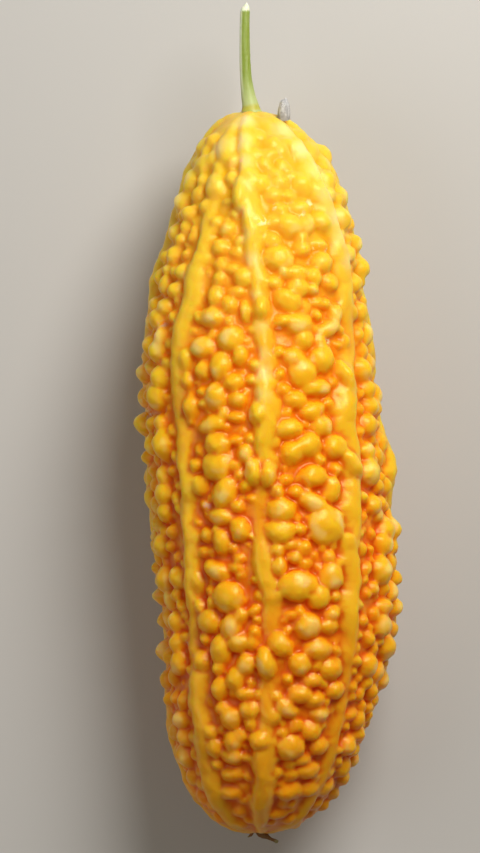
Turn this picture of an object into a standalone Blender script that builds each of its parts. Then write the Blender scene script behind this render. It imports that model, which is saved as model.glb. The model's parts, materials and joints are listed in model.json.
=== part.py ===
"""A ripe bitter gourd, lying on its side: a warty ridged fruit with its cut stem, the dried
remnant of its blossom and a small grey stub on its shoulder.

Metres, +Z up. The fruit lies along Y with its stem towards +Y. The origin is on the surface
that it lies on, under the middle of the whole object.
"""

import math
import random

import bmesh
import bpy
from mathutils import Vector

# The fruit's skin between its warts, as a turned outline.
FRUIT_LENGTH = 0.190
SKIN_RADIUS = 0.0292
WIDEST_AT = 0.53  # share of the length, from the stem end
STEM_END_POWERS = (2.1, 2.2)  # a superellipse towards each end
BLOSSOM_END_POWERS = (2.7, 2.2)
STEM_SEAT_RADIUS = 0.0034
BLOSSOM_SEAT_RADIUS = 0.0018
FINE_STEPS = 2000

# The middle of the fruit wanders sideways: (share of the length, sideways shift).
SPINE = (
    (0.00, -0.0037),
    (0.10, -0.0012),
    (0.33, -0.0024),
    (0.53, 0.0008),
    (0.70, 0.0034),
    (0.86, 0.0005),
    (1.00, -0.0016),
)

# The ridges: how high each stands, and its angle in degrees at shares of the length.
# 0 degrees is straight up and 90 is towards +X. Two ridges straddle the underside.
SWAY_AT = (0.0, 0.09, 0.20, 0.32, 0.40, 0.50, 0.60, 0.72, 0.84, 1.0)
RIDGES = (
    (0.0030, (-33, -38, -38, -45, -47, -45, -47, -50, -46, -46)),
    (0.0030, (-13, -14, -5, 2, 1, -3, -8, -5, -4, -3)),
    (0.0030, (54, 47, 59, 60, 50, 49, 43, 41, 47, 54)),
    (0.0029, (92, 98, 104, 91, 104, 90, 105, 92, 104, 98)),
    (0.0030, (126, 130, 133, 126, 134, 127, 135, 127, 133, 128)),
    (0.0040, (160, 163, 164, 161, 163, 162, 164, 161, 162, 163)),
    (0.0040, (199, 196, 197, 199, 196, 198, 197, 199, 198, 197)),
    (0.0030, (232, 228, 230, 229, 226, 231, 230, 226, 230, 229)),
    (0.0029, (268, 262, 272, 265, 256, 271, 265, 256, 267, 266)),
)
RIDGE_FOOT_SHARE = 0.25  # of the ridge's height, at its foot

# Columns of the mesh from one ridge's crest to the next one's: crest, foot and the furrow's
# warts. Each mesh face between the two feet is raised to one pointed wart.
COLUMN_SHARES = (0.0, 0.16, 0.39, 0.61, 0.84)
RINGS = 44
FURROW_JITTER = 0.16  # of a wart's own width and length
WART_HEIGHT = 0.0033
WART_HEIGHT_RANGE = (0.7, 1.15)
WARTS_FULL_WHERE = 0.6  # of SKIN_RADIUS: nearer the ends the warts and ridges shrink
WART_SEED = 7
REST_DEPTH = 0.0312  # the surface, below the fruit's middle line: what reaches it is pressed flat

GAP = 0.0003  # between pieces that touch

# The stem: (along it from the fruit, sideways, radius). It flares where it meets the fruit.
STEM_LENGTH = 0.0283
STEM_PATH = (
    (0.0000, 0.0000, 0.0031),
    (0.0016, 0.0000, 0.0023),
    (0.0058, -0.0008, 0.0017),
    (0.0129, -0.0016, 0.0015),
    (0.0222, -0.0017, 0.0013),
    (0.0266, -0.0015, 0.0012),
    (STEM_LENGTH, -0.0014, 0.0007),
)

# The dried blossom: (along it from the fruit, sideways, radius). It curls towards +X.
REMNANT_PATH = (
    (0.0000, 0.0000, 0.0013),
    (0.0008, 0.0000, 0.0011),
    (0.0018, 0.0014, 0.0008),
    (0.0026, 0.0034, 0.0005),
    (0.0031, 0.0052, 0.0002),
)

# The grey stub, a blunt cone on the shoulder beside the stem.
STUB_ANGLE = 62
STUB_AT = 0.018  # share of the fruit's length
STUB_RADIUS = 0.0019
STUB_HEIGHT = 0.0052
STUB_LEAN = Vector((0.05, 1.0, 0.35)).normalized()
STUB_SIDES = 12
STUB_OUTLINE = ((0.0, 1.0), (0.35, 0.95), (0.7, 0.68), (0.92, 0.36), (1.0, 0.12))


def clear_scene():
    for obj in list(bpy.data.objects):
        bpy.data.objects.remove(obj)


def material(name, color, roughness):
    made = bpy.data.materials.new(name)
    made.use_nodes = True
    shader = made.node_tree.nodes["Principled BSDF"]
    shader.inputs["Base Color"].default_value = (*color, 1.0)
    shader.inputs["Roughness"].default_value = roughness
    shader.inputs["Metallic"].default_value = 0.0
    return made


def link(name, data, frame, finish):
    obj = bpy.data.objects.new(name, data)
    bpy.context.scene.collection.objects.link(obj)
    obj.parent = frame
    data.materials.append(finish)
    return obj


def smooth_between(places, values, at):
    """Catmull-Rom interpolation of values at places, which rise."""
    last = len(places) - 1
    i = max(k for k in range(last) if k == 0 or places[k] <= at)
    before, here, after, beyond = (values[min(max(i + k, 0), last)] for k in (-1, 0, 1, 2))
    f = min(max((at - places[i]) / (places[i + 1] - places[i]), 0.0), 1.0)
    rise, fall = (after - before) / 2, (beyond - here) / 2
    return (
        here * (1 + 2 * f) * (1 - f) ** 2
        + after * f * f * (3 - 2 * f)
        + rise * f * (1 - f) ** 2
        - fall * f * f * (1 - f)
    )


def skin_radius(share):
    """Radius of the skin at a share of the length, 0 at the stem end and 1 at the blossom end."""
    if share < WIDEST_AT:
        run, (rise, root) = 1 - share / WIDEST_AT, STEM_END_POWERS
    else:
        run, (rise, root) = (share - WIDEST_AT) / (1 - WIDEST_AT), BLOSSOM_END_POWERS
    return SKIN_RADIUS * max(1 - run**rise, 0.0) ** (1 / root)


def even_shares(count):
    """Shares of the length that cut the outline into count equal lengths."""
    fine = [i / FINE_STEPS for i in range(FINE_STEPS + 1)]
    outline = [Vector((share * FRUIT_LENGTH, skin_radius(share))) for share in fine]
    travelled = [0.0]
    for here, after in zip(outline, outline[1:]):
        travelled.append(travelled[-1] + (after - here).length)
    wanted = [travelled[-1] * i / count for i in range(count + 1)]
    found, i = [], 0
    for length in wanted:
        while i < FINE_STEPS - 1 and travelled[i + 1] < length:
            i += 1
        step = (length - travelled[i]) / (travelled[i + 1] - travelled[i])
        found.append(fine[i] + step / FINE_STEPS)
    return found


def spine_shift(share):
    return smooth_between([s for s, _ in SPINE], [x for _, x in SPINE], share)


def skin_point(share, degrees, height, least_radius=0.0):
    """A point standing height above the skin, on the line square to it."""
    step = 0.002
    low, high = max(share - step, 0.0), min(share + step, 1.0)
    slope = (skin_radius(high) - skin_radius(low)) / ((high - low) * FRUIT_LENGTH)
    outward = 1 / math.hypot(1, slope)
    radius = max(skin_radius(share), least_radius) + height * outward
    along = (0.5 - share) * FRUIT_LENGTH + height * slope * outward
    angle = math.radians(degrees)
    return Vector((spine_shift(share) + radius * math.sin(angle), along, radius * math.cos(angle)))


def ridge_angle(number, share):
    """The angle of ridge number, counted on past the last one to the first one again."""
    turns, number = divmod(number, len(RIDGES))
    return 360 * turns + smooth_between(SWAY_AT, RIDGES[number][1], share)


def ridge_height(number):
    return RIDGES[number % len(RIDGES)][0]


def fullness(share):
    """How much of their full height the warts and ridges have at a share of the length."""
    return min(skin_radius(min(max(share, 0.0), 1.0)) / (WARTS_FULL_WHERE * SKIN_RADIUS), 1.0)


def ridge_rise(ridge, step):
    """How far the skin stands up at one of the columns that follow a ridge's crest."""
    if step == 0:
        return ridge_height(ridge)
    if step == 1:
        return ridge_height(ridge) * RIDGE_FOOT_SHARE
    if step == len(COLUMN_SHARES) - 1:
        return ridge_height(ridge + 1) * RIDGE_FOOT_SHARE
    return 0.0


def raise_warts(bm, furrow, chance):
    """Pulls each mesh face that lies wholly in a furrow up to a point, by its own height."""
    for face in [face for face in bm.faces if furrow.issuperset(face.verts)]:
        share = 0.5 - face.calc_center_median().y / FRUIT_LENGTH
        height = WART_HEIGHT * chance.uniform(*WART_HEIGHT_RANGE) * fullness(share)
        bmesh.ops.poke(bm, faces=[face], offset=height)


def build_fruit(frame):
    """A sphere's rings and columns, moved to the ridged and warty skin. Its two poles are flat seats."""
    steps = len(COLUMN_SHARES)
    columns = steps * len(RIDGES)
    furrow_width = COLUMN_SHARES[3] - COLUMN_SHARES[2]
    shares = even_shares(RINGS - 2)
    chance = random.Random(WART_SEED)
    furrow = set()
    bm = bmesh.new()
    bmesh.ops.create_uvsphere(bm, u_segments=columns, v_segments=RINGS, radius=1.0)
    for vertex in bm.verts:
        ring = round(math.acos(max(-1.0, min(1.0, vertex.co.z))) / math.pi * RINGS)
        column = round(math.atan2(vertex.co.x, vertex.co.y) / math.tau * columns) % columns
        share = shares[min(max(ring - 1, 0), RINGS - 2)]
        if ring in (0, RINGS):
            vertex.co = (spine_shift(share), (0.5 - share) * FRUIT_LENGTH, 0.0)
            continue
        ridge, step = divmod(column, steps)
        across = COLUMN_SHARES[step]
        if step > 0 and 2 <= ring <= RINGS - 2:
            furrow.add(vertex)
        if step > 1 and 2 < ring < RINGS - 2:
            across += chance.uniform(-1, 1) * FURROW_JITTER * furrow_width
            share += chance.uniform(-1, 1) * FURROW_JITTER / RINGS
        degrees = ridge_angle(ridge, share) * (1 - across) + ridge_angle(ridge + 1, share) * across
        seat = STEM_SEAT_RADIUS if share < WIDEST_AT else BLOSSOM_SEAT_RADIUS
        vertex.co = skin_point(share, degrees, ridge_rise(ridge, step) * fullness(share), seat)
    bmesh.ops.recalc_face_normals(bm, faces=bm.faces)
    raise_warts(bm, furrow, chance)
    for vertex in bm.verts:
        vertex.co.z = max(vertex.co.z, -REST_DEPTH)
    mesh = bpy.data.meshes.new("fruit")
    bm.to_mesh(mesh)
    bm.free()
    mesh.shade_smooth()
    skin = material("ripe_skin", (0.87, 0.46, 0.045), 0.32)
    return link("fruit", mesh, frame, skin)


def tapered_tube(name, points, frame, finish):
    """A round tube through (place, radius) points, closed at both ends."""
    curve = bpy.data.curves.new(name, "CURVE")
    curve.dimensions = "3D"
    curve.bevel_depth = 1.0
    curve.bevel_resolution = 3
    curve.use_fill_caps = True
    spline = curve.splines.new("POLY")
    spline.points.add(len(points) - 1)
    for point, (place, radius) in zip(spline.points, points):
        point.co = (*place, 1.0)
        point.radius = radius
    return link(name, curve, frame, finish)


def along_path(path, start, direction, steps):
    """(place, radius) points of a smooth line through a path that leaves start along Y."""
    distances = [length for length, _, _ in path]
    points = []
    for i in range(steps + 1):
        length = distances[-1] * i / steps
        sideways = smooth_between(distances, [x for _, x, _ in path], length)
        radius = smooth_between(distances, [r for _, _, r in path], length)
        points.append((start + Vector((sideways, direction * length, 0.0)), radius))
    return points


def build_stem(frame):
    start = Vector((spine_shift(0.0), FRUIT_LENGTH / 2 + GAP, 0.0))
    green = material("green_stem", (0.33, 0.40, 0.09), 0.55)
    return tapered_tube("stem", along_path(STEM_PATH, start, 1, 16), frame, green)


def build_remnant(frame):
    start = Vector((spine_shift(1.0), -FRUIT_LENGTH / 2 - GAP, 0.0))
    brown = material("dried_blossom", (0.10, 0.055, 0.02), 0.85)
    points = along_path(REMNANT_PATH, start, -1, 8)
    return tapered_tube("blossom_remnant", points, frame, brown)


def build_stub(frame, fruit):
    """A blunt cone, turned up to a dome, whose base clears the skin under all of its rim."""
    foot = skin_point(STUB_AT, STUB_ANGLE, 0.0)
    turn = STUB_LEAN.to_track_quat("Z", "X")
    rim = [Vector((0.0, 0.0, 0.0))]
    for i in range(STUB_SIDES):
        angle = math.tau * i / STUB_SIDES
        rim.append(Vector((math.cos(angle), math.sin(angle), 0.0)) * STUB_RADIUS * 1.1)
    reach = 0.02
    highest = -reach
    for point in rim:
        above = foot + turn @ point + STUB_LEAN * reach
        hit, place, _, _ = fruit.ray_cast(above, -STUB_LEAN)
        if hit:
            highest = max(highest, reach - (above - place).length)
    base = foot + STUB_LEAN * (highest + GAP)

    bm = bmesh.new()
    profile = [(0.0, 0.0)] + [(share, height) for height, share in STUB_OUTLINE] + [(0.0, 1.0)]
    verts = [bm.verts.new((r * STUB_RADIUS, 0.0, h * STUB_HEIGHT)) for r, h in profile]
    edges = [bm.edges.new(pair) for pair in zip(verts, verts[1:])]
    bmesh.ops.spin(
        bm,
        geom=verts + edges,
        cent=(0, 0, 0),
        axis=(0, 0, 1),
        angle=math.tau,
        steps=STUB_SIDES,
    )
    bmesh.ops.remove_doubles(bm, verts=bm.verts, dist=1e-5)
    bmesh.ops.recalc_face_normals(bm, faces=bm.faces)
    mesh = bpy.data.meshes.new("grey_stub")
    bm.to_mesh(mesh)
    bm.free()
    mesh.shade_smooth()
    grey = material("grey_stub", (0.42, 0.40, 0.37), 0.7)
    stub = link("grey_stub", mesh, frame, grey)
    stub.rotation_mode = "QUATERNION"
    stub.rotation_quaternion = turn
    stub.location = base
    return stub


def rest_on_origin(frame, pieces):
    """Moves the frame so that the origin is under the middle of the pieces, on their surface."""
    bpy.context.view_layer.update()
    graph = bpy.context.evaluated_depsgraph_get()
    corners = []
    for piece in pieces:
        shown = piece.evaluated_get(graph)
        mesh = shown.to_mesh()
        corners += [shown.matrix_world @ vertex.co for vertex in mesh.vertices]
        shown.to_mesh_clear()
    low = Vector([min(corner[axis] for corner in corners) for axis in range(3)])
    high = Vector([max(corner[axis] for corner in corners) for axis in range(3)])
    frame.location = (-(low.x + high.x) / 2, -(low.y + high.y) / 2, -low.z)


def main():
    clear_scene()
    frame = bpy.data.objects.new("gourd_frame", None)
    bpy.context.scene.collection.objects.link(frame)
    fruit = build_fruit(frame)
    bpy.context.view_layer.update()
    pieces = [fruit, build_stem(frame), build_remnant(frame), build_stub(frame, fruit)]
    rest_on_origin(frame, pieces)


main()
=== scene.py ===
import json
import math

import bpy
import numpy as np
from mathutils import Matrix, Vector

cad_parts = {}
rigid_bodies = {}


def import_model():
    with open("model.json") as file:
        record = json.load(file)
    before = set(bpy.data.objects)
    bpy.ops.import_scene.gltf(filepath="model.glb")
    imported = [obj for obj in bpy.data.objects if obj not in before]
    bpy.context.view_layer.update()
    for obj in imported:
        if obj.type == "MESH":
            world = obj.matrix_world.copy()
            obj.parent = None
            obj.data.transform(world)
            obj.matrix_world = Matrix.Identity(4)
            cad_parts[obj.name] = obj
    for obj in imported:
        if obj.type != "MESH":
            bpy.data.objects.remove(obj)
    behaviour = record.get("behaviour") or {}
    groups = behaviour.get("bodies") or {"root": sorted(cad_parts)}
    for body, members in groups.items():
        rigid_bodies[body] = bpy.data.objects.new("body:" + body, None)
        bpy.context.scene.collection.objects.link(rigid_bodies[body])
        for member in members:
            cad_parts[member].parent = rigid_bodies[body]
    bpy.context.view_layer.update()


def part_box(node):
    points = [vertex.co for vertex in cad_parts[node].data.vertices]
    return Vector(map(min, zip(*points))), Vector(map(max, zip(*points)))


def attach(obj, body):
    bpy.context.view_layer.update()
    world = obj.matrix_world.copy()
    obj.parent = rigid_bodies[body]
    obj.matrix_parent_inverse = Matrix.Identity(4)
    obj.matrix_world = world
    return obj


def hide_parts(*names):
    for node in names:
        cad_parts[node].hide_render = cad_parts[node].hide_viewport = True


# A ripe bitter gourd that lies on a pale table with its stem towards +Y, seen from straight
# above. Metres throughout. Each section below makes one piece of it.

for leftover in list(bpy.data.objects):
    bpy.data.objects.remove(leftover)
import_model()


# ---- The fruit's skin -----------------------------------------------------------------------
# The skin of the gourd is one grown body: a long barrel with nine smooth cords, the ridges,
# running from the stem to the blossom end, and hollow furrows between them. This is the bare
# skin, before its warts.

MILLIMETRE = 0.001
FRUIT_LENGTH = 0.190
SKIN_RADIUS = 0.0292  # of the furrows' floor
WIDEST_AT = 0.53  # share of the length, from the stem end
STEM_END_POWERS = (2.1, 2.2)
BLOSSOM_END_POWERS = (2.7, 2.2)
REST_DEPTH = 0.0312  # from the middle line down to the table
SPINE_FROM_BOX_MIDDLE = -0.0013  # the bent fruit's middle line, from the middle of its box

SPINE_AT = (0.00, 0.10, 0.33, 0.53, 0.70, 0.86, 1.00)
SPINE_SHIFT = (-0.0037, -0.0012, -0.0024, 0.0008, 0.0034, 0.0005, -0.0016)

# The ridges' angles in degrees at shares of the length: 0 is straight up, 90 towards +X.
SWAY_AT = (0.0, 0.09, 0.20, 0.32, 0.40, 0.50, 0.60, 0.72, 0.84, 1.0)
RIDGE_ANGLES = (
    (-33, -38, -38, -45, -47, -45, -47, -50, -46, -46),
    (-13, -14, -5, 2, 1, -3, -8, -5, -4, -3),
    (54, 47, 59, 60, 50, 49, 43, 41, 47, 54),
    (92, 96, 100, 96, 100, 91, 99, 96, 101, 98),
    (126, 129, 131, 128, 132, 129, 133, 129, 132, 128),
    (160, 163, 164, 161, 163, 162, 164, 161, 162, 163),
    (199, 196, 197, 199, 196, 198, 197, 199, 198, 197),
    (232, 228, 230, 229, 226, 231, 230, 226, 230, 229),
    (268, 264, 271, 265, 259, 270, 265, 260, 267, 266),
)
RIDGE_HEIGHTS = (0.0030, 0.0030, 0.0030, 0.0029, 0.0030, 0.0040, 0.0040, 0.0030, 0.0029)

# How strong each ridge is along its length: 1 is its usual height.
SWELL_AT = (0.0, 0.08, 0.16, 0.24, 0.32, 0.40, 0.48, 0.56, 0.64, 0.72, 0.80, 0.88, 1.0)
RIDGE_SWELLS = (
    (0.7, 0.5, 0.7, 1.2, 1.0, 0.7, 0.8, 1.0, 1.0, 0.7, 0.9, 1.0, 0.9),
    (1.1, 1.2, 1.1, 0.9, 0.7, 1.2, 0.9, 0.4, 1.0, 0.4, 0.6, 1.2, 1.1),
    (0.9, 1.0, 1.2, 0.9, 0.7, 1.1, 1.0, 0.9, 1.0, 0.8, 0.5, 0.7, 0.9),
    (1.0, 1.0, 0.9, 1.1, 1.3, 0.9, 1.6, 1.0, 0.9, 1.1, 0.9, 0.9, 0.8),
    (1.0, 1.1, 0.9, 1.0, 1.1, 0.8, 1.0, 1.2, 0.9, 1.0, 1.1, 0.9, 1.0),
    (1.0, 1.0, 1.0, 1.0, 1.0, 1.0, 1.0, 1.0, 1.0, 1.0, 1.0, 1.0, 1.0),
    (1.0, 1.0, 1.0, 1.0, 1.0, 1.0, 1.0, 1.0, 1.0, 1.0, 1.0, 1.0, 1.0),
    (1.0, 0.9, 1.1, 1.0, 0.8, 1.1, 1.0, 0.9, 1.1, 1.0, 0.9, 1.1, 1.0),
    (1.0, 1.0, 1.0, 1.1, 1.0, 0.9, 1.0, 1.0, 0.9, 0.9, 1.0, 1.0, 1.0),
)

# Half the ridges' widths in millimetres, at shares of the length.
WIDTH_AT = (0.0, 0.15, 0.30, 0.50, 0.70, 0.85, 1.0)
RIDGE_HALF_WIDTHS = (
    (3.0, 3.3, 4.2, 3.7, 3.7, 4.4, 4.0),
    (3.3, 3.5, 3.6, 3.8, 3.6, 3.9, 3.2),
    (3.4, 3.7, 4.5, 4.4, 3.8, 3.2, 3.0),
    (3.4, 3.8, 4.0, 4.4, 4.0, 3.6, 3.2),
    (3.4, 3.8, 4.4, 4.0, 4.2, 3.8, 3.2),
    (3.6, 4.0, 4.2, 4.2, 4.2, 3.8, 3.4),
    (3.6, 4.0, 4.2, 4.2, 4.2, 3.8, 3.4),
    (3.4, 3.8, 4.0, 4.4, 4.0, 3.8, 3.2),
    (3.2, 3.6, 4.2, 3.8, 4.2, 4.0, 3.4),
)
RIDGE_LEANS = (0.1, 0.35, -0.35, 0.0, 0.0, 0.0, 0.0, 0.0, 0.0)  # towards larger angles
RIDGE_ROUNDNESS = 1.15  # power of the cord's outline: lower is fuller
FLOOR_RISE = 0.0006  # that the warts' feet sink into
RIDGE_KNOTS = 0.10  # how much a ridge swells and thins along its length
RIDGE_RAGGED = 0.10  # how much its two edges wander
RIDGE_WOBBLE = 0.8  # degrees
SKIN_RINGS = 300
SKIN_COLUMNS = 280
SEAT_RADIUS = 0.0016
FULL_WHERE = 0.6  # of SKIN_RADIUS: nearer the ends the ridges and warts shrink

fruit_low, fruit_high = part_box("fruit")
middle = Vector((
    (fruit_low.x + fruit_high.x) / 2 + SPINE_FROM_BOX_MIDDLE,
    (fruit_low.y + fruit_high.y) / 2,
    fruit_low.z + REST_DEPTH,
))


def smooth_between(places, values, at):
    """Catmull-Rom interpolation of values at places, for an array of places."""
    places, values = np.asarray(places, float), np.asarray(values, float)
    i = np.clip(np.searchsorted(places, at, side="right") - 1, 0, len(places) - 2)
    f = np.clip((at - places[i]) / (places[i + 1] - places[i]), 0, 1)
    before, here, after, beyond = (
        values[np.clip(i + k, 0, len(values) - 1)] for k in (-1, 0, 1, 2)
    )
    rise, fall = (after - before) / 2, (beyond - here) / 2
    return (
        here * (1 + 2 * f) * (1 - f) ** 2
        + after * f * f * (3 - 2 * f)
        + rise * f * (1 - f) ** 2
        - fall * f * f * (1 - f)
    )


def spine_shift(share):
    return smooth_between(SPINE_AT, SPINE_SHIFT, share)


def skin_radius(share):
    """The furrow floor's radius at shares of the length, 0 at the stem and 1 at the blossom."""
    to_stem = np.clip(1 - share / WIDEST_AT, 0, 1)
    to_blossom = np.clip((share - WIDEST_AT) / (1 - WIDEST_AT), 0, 1)
    stem_half = np.clip(1 - to_stem ** STEM_END_POWERS[0], 0, 1) ** (1 / STEM_END_POWERS[1])
    blossom_half = np.clip(1 - to_blossom ** BLOSSOM_END_POWERS[0], 0, 1)
    blossom_half = blossom_half ** (1 / BLOSSOM_END_POWERS[1])
    return SKIN_RADIUS * np.where(share < WIDEST_AT, stem_half, blossom_half)


def fullness(share):
    return np.minimum(skin_radius(share) / (FULL_WHERE * SKIN_RADIUS), 1.0)


def skin_frame(share, degrees, height):
    """(points, outward normals) that stand height above the skin at shares and angles."""
    step = 0.002
    low, high = np.clip(share - step, 0, 1), np.clip(share + step, 0, 1)
    slope = (skin_radius(high) - skin_radius(low)) / ((high - low) * FRUIT_LENGTH)
    outward = 1 / np.hypot(1, slope)
    radius = np.maximum(skin_radius(share), SEAT_RADIUS) + height * outward
    along = (0.5 - share) * FRUIT_LENGTH + height * slope * outward
    angle = np.radians(degrees)
    sideways = spine_shift(share)
    points = np.stack([sideways + radius * np.sin(angle), along, radius * np.cos(angle)], -1)
    normals = np.stack([outward * np.sin(angle), slope * outward, outward * np.cos(angle)], -1)
    return points + np.array(middle), normals


def off_crest(number, share, degrees):
    """Signed distance round the skin from a ridge's crest, in metres."""
    crest = smooth_between(SWAY_AT, RIDGE_ANGLES[number], share)
    crest = crest + RIDGE_WOBBLE * np.sin(share * 75 + number * 1.7)
    gap = (degrees - crest + 180) % 360 - 180
    return np.radians(gap) * np.maximum(skin_radius(share), SEAT_RADIUS)


def ridge_swell(number, share):
    knots = np.sin(share * 41 + number * 2.1) + 0.6 * np.sin(share * 89 + number * 4.7)
    return smooth_between(SWELL_AT, RIDGE_SWELLS[number], share) * (1 + RIDGE_KNOTS * knots)


def ridge_half_width(number, share, side):
    ragged = np.sin(share * 97 + number * 3.1 + side * 1.3)
    ragged = ragged + 0.7 * np.sin(share * 231 + number * 5.3 - side * 2.2)
    wide = np.clip(ridge_swell(number, share), 0.4, 1.4) ** 0.3 * (1 + RIDGE_RAGGED * ragged)
    half = MILLIMETRE * smooth_between(WIDTH_AT, RIDGE_HALF_WIDTHS[number], share)
    half = half * (1 + RIDGE_LEANS[number] * side)
    return half * wide * (0.35 + 0.65 * fullness(share))


def ridge_relief(share, degrees):
    """(height above the furrow floor, 0 to 1 on a ridge) of the bare skin."""
    relief = FLOOR_RISE * fullness(share)
    on_ridge = np.zeros_like(share)
    for number, height in enumerate(RIDGE_HEIGHTS):
        across = off_crest(number, share, degrees)
        half = ridge_half_width(number, share, np.sign(across))
        cord = np.clip(1 - (across / half) ** 2, 0, 1) ** RIDGE_ROUNDNESS
        swell = ridge_swell(number, share)
        relief = np.maximum(relief, height * swell * fullness(share) * cord)
        on_ridge = np.maximum(on_ridge, np.clip(1.6 * cord, 0, 1) * np.clip(swell, 0, 1))
    return relief, on_ridge


def even_shares(count):
    """Shares of the length that cut the outline into count equal lengths."""
    fine = np.linspace(0, 1, 4001)
    steps = np.hypot(np.diff(fine) * FRUIT_LENGTH, np.diff(skin_radius(fine)))
    travelled = np.concatenate([[0], np.cumsum(steps)])
    return np.interp(np.linspace(0, travelled[-1], count + 1), travelled, fine)


def add_object(name, data):
    obj = bpy.data.objects.new(name, data)
    bpy.context.scene.collection.objects.link(obj)
    return obj


def mesh_from(name, points, faces):
    mesh = bpy.data.meshes.new(name)
    mesh.from_pydata([tuple(point) for point in points], [], faces)
    mesh.update()
    return mesh


def set_attribute(mesh, name, values, kind="FLOAT"):
    attribute = mesh.attributes.new(name, kind, "POINT")
    key = "value" if kind == "FLOAT" else "vector"
    attribute.data.foreach_set(key, np.asarray(values, np.float32).ravel())


def bare_skin():
    """The ridged skin as rings of faces, closed at both ends by fans."""
    shares = even_shares(SKIN_RINGS - 1)
    turns = np.arange(SKIN_COLUMNS) * 360 / SKIN_COLUMNS
    share, degrees = np.meshgrid(shares, turns, indexing="ij")
    share, degrees = share.ravel(), degrees.ravel()
    relief, on_ridge = ridge_relief(share, degrees)
    points, _ = skin_frame(share, degrees, relief)
    ends, _ = skin_frame(np.array([0.0, 1.0]), np.zeros(2), np.zeros(2))
    ends[:, 2] = middle.z
    faces = []
    for ring in range(SKIN_RINGS - 1):
        for column in range(SKIN_COLUMNS):
            after = (column + 1) % SKIN_COLUMNS
            a, b = ring * SKIN_COLUMNS + column, ring * SKIN_COLUMNS + after
            faces.append((a, b, b + SKIN_COLUMNS, a + SKIN_COLUMNS))
    stem_end, blossom_end = len(points), len(points) + 1
    last = (SKIN_RINGS - 1) * SKIN_COLUMNS
    for column in range(SKIN_COLUMNS):
        after = (column + 1) % SKIN_COLUMNS
        faces.append((after, column, stem_end))
        faces.append((last + column, last + after, blossom_end))
    mesh = mesh_from("fruit", np.concatenate([points, ends]), faces)
    set_attribute(mesh, "ridge", np.concatenate([on_ridge, [0, 0]]))
    return mesh


skin = add_object("fruit_bare", bare_skin())


# ---- The warts ------------------------------------------------------------------------------
# Rounded, juicy warts crowd the furrows like beads. They grew with the skin, so they are fused
# with it and with each other. The ones that show most are placed one by one, and chance fills
# the rest: big ones out of sight, and small ones in the gaps between.

# Each listed wart is (share of the length, how far it shows sideways of the straight
# middle line, half its width, half its length, and in some its tilt in degrees), millimetres.
LEFT_FURROW = (
    (0.168, -10.3, 2.0, 1.9), (0.192, -12.3, 2.3, 1.9), (0.158, -13.2, 1.6, 1.6),
    (0.168, -14.0, 1.5, 1.5), (0.130, -9.8, 1.6, 1.0), (0.217, -12.0, 1.9, 1.6),
    (0.235, -12.3, 1.6, 1.7), (0.222, -8.8, 2.0, 1.2), (0.234, -6.0, 2.2, 2.3),
    (0.253, -7.8, 2.2, 1.2), (0.260, -13.5, 2.0, 2.4), (0.271, -10.0, 1.9, 2.1),
    (0.281, -5.6, 1.3, 2.6), (0.288, -14.2, 2.9, 2.3), (0.318, -9.3, 3.0, 2.8),
    (0.312, -13.9, 1.3, 1.1), (0.330, -17.0, 2.9, 2.5), (0.340, -6.9, 1.9, 2.5),
    (0.346, -21.2, 1.8, 2.7), (0.356, -12.3, 2.5, 3.2), (0.360, -16.9, 2.0, 2.3),
    (0.375, -20.6, 1.7, 1.9), (0.377, -8.7, 2.4, 2.1), (0.396, -13.5, 2.5, 3.0),
    (0.400, -7.5, 2.0, 1.9), (0.410, -20.0, 2.0, 2.6), (0.434, -14.3, 3.2, 1.9, 20),
    (0.425, -8.0, 2.0, 1.2), (0.438, -10.4, 1.2, 1.0), (0.461, -13.2, 3.0, 2.5),
    (0.455, -8.0, 1.7, 1.3), (0.474, -5.6, 1.9, 2.1), (0.492, -13.3, 3.4, 3.1),
    (0.490, -8.6, 1.6, 1.6), (0.490, -18.6, 1.7, 1.7), (0.517, -17.5, 2.1, 2.2),
    (0.528, -11.3, 2.6, 3.6, -25), (0.545, -16.0, 1.3, 1.2), (0.560, -12.2, 3.0, 1.9),
    (0.577, -7.1, 2.3, 2.7), (0.585, -15.5, 1.6, 1.6), (0.595, -11.9, 2.0, 2.7),
    (0.609, -16.2, 1.4, 1.3), (0.617, -7.2, 1.5, 1.2), (0.630, -8.0, 1.8, 1.3),
    (0.640, -6.9, 1.2, 1.2), (0.634, -13.2, 3.4, 1.9, -20), (0.650, -18.1, 1.6, 2.6),
    (0.671, -10.5, 3.6, 3.3), (0.695, -6.8, 1.7, 1.9), (0.705, -15.6, 2.8, 2.7),
    (0.712, -9.5, 2.4, 3.0), (0.732, -7.5, 2.5, 2.3), (0.733, -3.9, 1.5, 1.9),
    (0.745, -12.3, 2.4, 3.4), (0.760, -17.3, 2.2, 2.4), (0.763, -5.5, 2.0, 2.5),
    (0.783, -8.2, 2.2, 2.6), (0.797, -12.5, 2.0, 2.6), (0.803, -5.6, 2.2, 1.6),
    (0.822, -11.6, 1.8, 1.4), (0.836, -9.4, 2.4, 2.4), (0.824, -4.5, 2.3, 2.2),
    (0.855, -14.8, 2.0, 1.8), (0.860, -6.6, 1.6, 1.8), (0.868, -9.0, 2.2, 2.3),
    (0.878, -13.8, 2.0, 2.4), (0.888, -9.0, 2.6, 1.9), (0.914, -9.3, 2.6, 1.7),
    (0.940, -9.5, 2.6, 1.7), (0.950, -6.0, 1.4, 1.0), (0.967, -7.2, 1.5, 1.7),
)
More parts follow.
